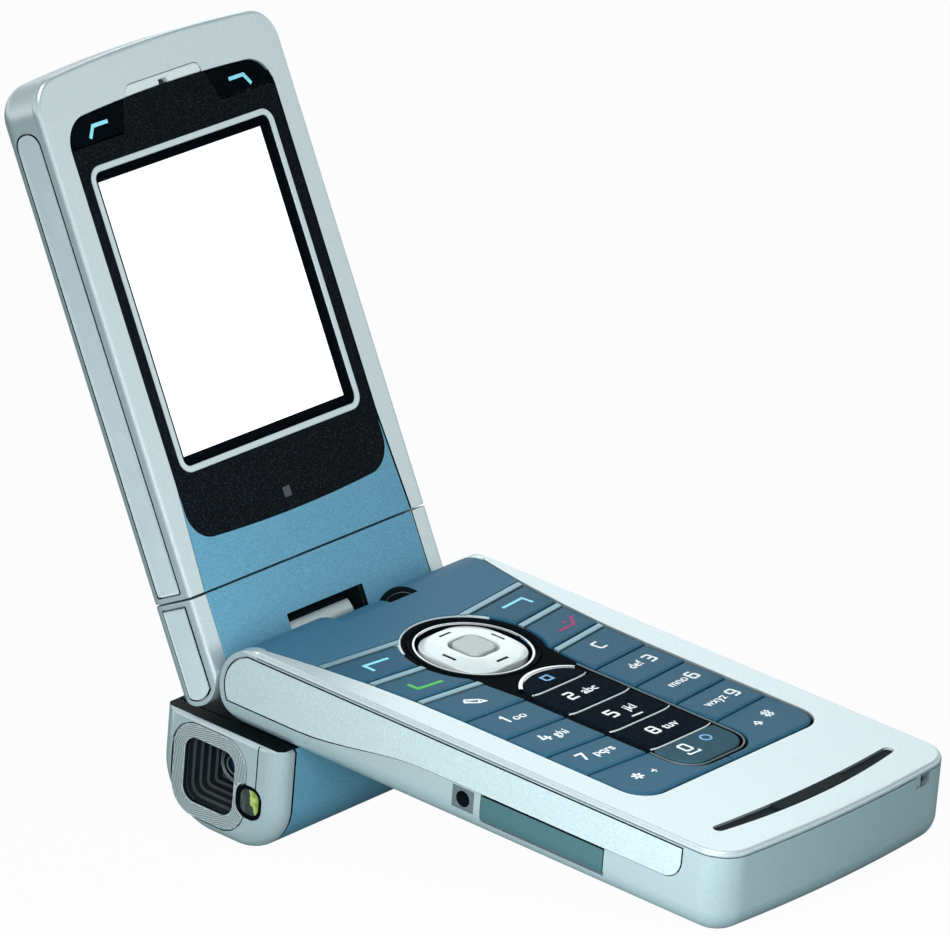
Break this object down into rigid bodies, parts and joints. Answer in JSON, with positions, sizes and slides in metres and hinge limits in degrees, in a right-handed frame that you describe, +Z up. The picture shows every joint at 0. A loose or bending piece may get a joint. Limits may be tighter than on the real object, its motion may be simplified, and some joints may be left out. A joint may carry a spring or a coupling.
{
  "type": "flip phone",
  "caption": "Folding phone with a keypad base, a display lid that opens and swivels, and a camera barrel between them at the hinge.",
  "frame": {"origin": "centre of the bounding box on the floor the open phone stands on", "axes": "+X across the phone, to the right of someone reading the keypad; +Y from the keypad towards the lid; +Z up"},
  "size_m": [0.051, 0.1252, 0.1105],
  "materials": {
    "silver_paint": "silver paint on plastic",
    "satin_plastic": "satin",
    "blue_grey_paint": "blue-grey metallic paint on plastic",
    "black_gloss": "gloss",
    "pearl_plastic": "pearl",
    "select_grey": "satin",
    "key_rubber": "matte",
    "board": "solder mask",
    "battery_case": "film wrap",
    "steel": "turned",
    "lens_glass": "coated",
    "flash_amber": "clear tinted",
    "screen": "plain lit display"
  },
  "bodies": {
    "base": {"keypad_frame": "silver_paint", "lower_housing": "silver_paint", "side_panels": "satin_plastic", "hinge_end_panel": "blue_grey_paint", "centre_strip": "black_gloss", "nav_bezel": "black_gloss", "key_bars": "silver_paint", "key_mat": "key_rubber", "main_board": "board", "battery": "battery_case", "battery_cover": "satin_plastic", "charging_socket": "steel", "mic_trim": "black_gloss"},
    "card_door": {"card_door": "satin_plastic"},
    "nav_key": {"nav_key": "pearl_plastic"},
    "select_key": {"select_key": "select_grey"},
    "menu_key": {"menu_key": "black_gloss"},
    "key_2": {"key_2": "black_gloss"},
    "key_5": {"key_5": "black_gloss"},
    "key_8": {"key_8": "black_gloss"},
    "key_0": {"key_0": "black_gloss"},
    "soft_key_left": {"soft_key_left": "blue_grey_paint"},
    "soft_key_right": {"soft_key_right": "blue_grey_paint"},
    "call_key": {"call_key": "blue_grey_paint"},
    "end_key": {"end_key": "blue_grey_paint"},
    "edit_key": {"edit_key": "blue_grey_paint"},
    "clear_key": {"clear_key": "blue_grey_paint"},
    "key_1": {"key_1": "blue_grey_paint"},
    "key_3": {"key_3": "blue_grey_paint"},
    "key_4": {"key_4": "blue_grey_paint"},
    "key_6": {"key_6": "blue_grey_paint"},
    "key_7": {"key_7": "blue_grey_paint"},
    "key_9": {"key_9": "blue_grey_paint"},
    "key_star": {"key_star": "blue_grey_paint"},
    "key_hash": {"key_hash": "blue_grey_paint"},
    "camera_unit": {"camera_housing": "blue_grey_paint", "lens_end_cap": "silver_paint", "far_end_cap": "silver_paint", "lens_plate": "pearl_plastic", "lens_baffle": "black_gloss", "camera_lens": "lens_glass", "flash_lens": "flash_amber", "hinge_bracket": "silver_paint", "base_hinge_pin": "steel", "lid_hinge_pin": "steel"},
    "swivel_base": {"swivel_base_shell": "silver_paint", "swivel_base_panel": "blue_grey_paint", "swivel_base_trims": "pearl_plastic", "swivel_post": "steel"},
    "lid": {"lid_back_cover": "silver_paint", "lid_front_frame": "silver_paint", "chin_panel": "blue_grey_paint", "display_window": "black_gloss", "display_panel": "screen", "display_ring": "silver_paint", "earpiece_cap": "pearl_plastic", "lid_side_trims": "pearl_plastic", "cover_window": "black_gloss"},
    "lid_key_left": {"lid_key_left": "black_gloss"},
    "lid_key_right": {"lid_key_right": "black_gloss"}
  },
  "joints": [
    {"name": "nav_key_press", "type": "slide", "parent": "base", "child": "nav_key", "axis": [0, -0.2137, 0.9769], "range_m": [-0.0003, 0], "stiffness_N_per_m": 1000},
    {"name": "select_key_press", "type": "slide", "parent": "base", "child": "select_key", "axis": [0, -0.2137, 0.9769], "range_m": [-0.0003, 0], "stiffness_N_per_m": 1000},
    {"name": "menu_key_press", "type": "slide", "parent": "base", "child": "menu_key", "axis": [0, -0.2137, 0.9769], "range_m": [-0.0003, 0], "stiffness_N_per_m": 1000},
    {"name": "key_2_press", "type": "slide", "parent": "base", "child": "key_2", "axis": [0, -0.2137, 0.9769], "range_m": [-0.0003, 0], "stiffness_N_per_m": 1000},
    {"name": "key_5_press", "type": "slide", "parent": "base", "child": "key_5", "axis": [0, -0.2137, 0.9769], "range_m": [-0.0003, 0], "stiffness_N_per_m": 1000},
    {"name": "key_8_press", "type": "slide", "parent": "base", "child": "key_8", "axis": [0, -0.2137, 0.9769], "range_m": [-0.0003, 0], "stiffness_N_per_m": 1000},
    {"name": "key_0_press", "type": "slide", "parent": "base", "child": "key_0", "axis": [0, -0.2137, 0.9769], "range_m": [-0.0003, 0], "stiffness_N_per_m": 1000},
    {"name": "soft_key_left_press", "type": "slide", "parent": "base", "child": "soft_key_left", "axis": [0, -0.2137, 0.9769], "range_m": [-0.0003, 0], "stiffness_N_per_m": 1000},
    {"name": "soft_key_right_press", "type": "slide", "parent": "base", "child": "soft_key_right", "axis": [0, -0.2137, 0.9769], "range_m": [-0.0003, 0], "stiffness_N_per_m": 1000},
    {"name": "call_key_press", "type": "slide", "parent": "base", "child": "call_key", "axis": [0, -0.2137, 0.9769], "range_m": [-0.0003, 0], "stiffness_N_per_m": 1000},
    {"name": "end_key_press", "type": "slide", "parent": "base", "child": "end_key", "axis": [0, -0.2137, 0.9769], "range_m": [-0.0003, 0], "stiffness_N_per_m": 1000},
    {"name": "edit_key_press", "type": "slide", "parent": "base", "child": "edit_key", "axis": [0, -0.2137, 0.9769], "range_m": [-0.0003, 0], "stiffness_N_per_m": 1000},
    {"name": "clear_key_press", "type": "slide", "parent": "base", "child": "clear_key", "axis": [0, -0.2137, 0.9769], "range_m": [-0.0003, 0], "stiffness_N_per_m": 1000},
    {"name": "key_1_press", "type": "slide", "parent": "base", "child": "key_1", "axis": [0, -0.2137, 0.9769], "range_m": [-0.0003, 0], "stiffness_N_per_m": 1000},
    {"name": "key_3_press", "type": "slide", "parent": "base", "child": "key_3", "axis": [0, -0.2137, 0.9769], "range_m": [-0.0003, 0], "stiffness_N_per_m": 1000},
    {"name": "key_4_press", "type": "slide", "parent": "base", "child": "key_4", "axis": [0, -0.2137, 0.9769], "range_m": [-0.0003, 0], "stiffness_N_per_m": 1000},
    {"name": "key_6_press", "type": "slide", "parent": "base", "child": "key_6", "axis": [0, -0.2137, 0.9769], "range_m": [-0.0003, 0], "stiffness_N_per_m": 1000},
    {"name": "key_7_press", "type": "slide", "parent": "base", "child": "key_7", "axis": [0, -0.2137, 0.9769], "range_m": [-0.0003, 0], "stiffness_N_per_m": 1000},
    {"name": "key_9_press", "type": "slide", "parent": "base", "child": "key_9", "axis": [0, -0.2137, 0.9769], "range_m": [-0.0003, 0], "stiffness_N_per_m": 1000},
    {"name": "key_star_press", "type": "slide", "parent": "base", "child": "key_star", "axis": [0, -0.2137, 0.9769], "range_m": [-0.0003, 0], "stiffness_N_per_m": 1000},
    {"name": "key_hash_press", "type": "slide", "parent": "base", "child": "key_hash", "axis": [0, -0.2137, 0.9769], "range_m": [-0.0003, 0], "stiffness_N_per_m": 1000},
    {"name": "card_door_hinge", "type": "hinge", "parent": "base", "child": "card_door", "pos_m": [-0.0249, -0.02849, 0.00939], "axis": [0, -0.9769, -0.2137], "range_deg": [0, 90]},
    {"name": "base_hinge", "type": "hinge", "parent": "base", "child": "camera_unit", "pos_m": [0, 0.02268, 0.02396], "axis": [1, 0, 0], "range_deg": [0, 90]},
    {"name": "lid_hinge", "type": "hinge", "parent": "camera_unit", "child": "swivel_base", "pos_m": [0, 0.03446, 0.02531], "axis": [1, 0, 0], "range_deg": [-30, 28.6]},
    {"name": "display_swivel", "type": "hinge", "parent": "swivel_base", "child": "lid", "pos_m": [0, 0.03446, 0.02531], "axis": [0, 0.28, 0.96], "range_deg": [-90, 180]},
    {"name": "lid_key_left_press", "type": "slide", "parent": "lid", "child": "lid_key_left", "axis": [0, -0.96, 0.28], "range_m": [-0.0003, 0], "stiffness_N_per_m": 1000},
    {"name": "lid_key_right_press", "type": "slide", "parent": "lid", "child": "lid_key_right", "axis": [0, -0.96, 0.28], "range_m": [-0.0003, 0], "stiffness_N_per_m": 1000}
  ]
}
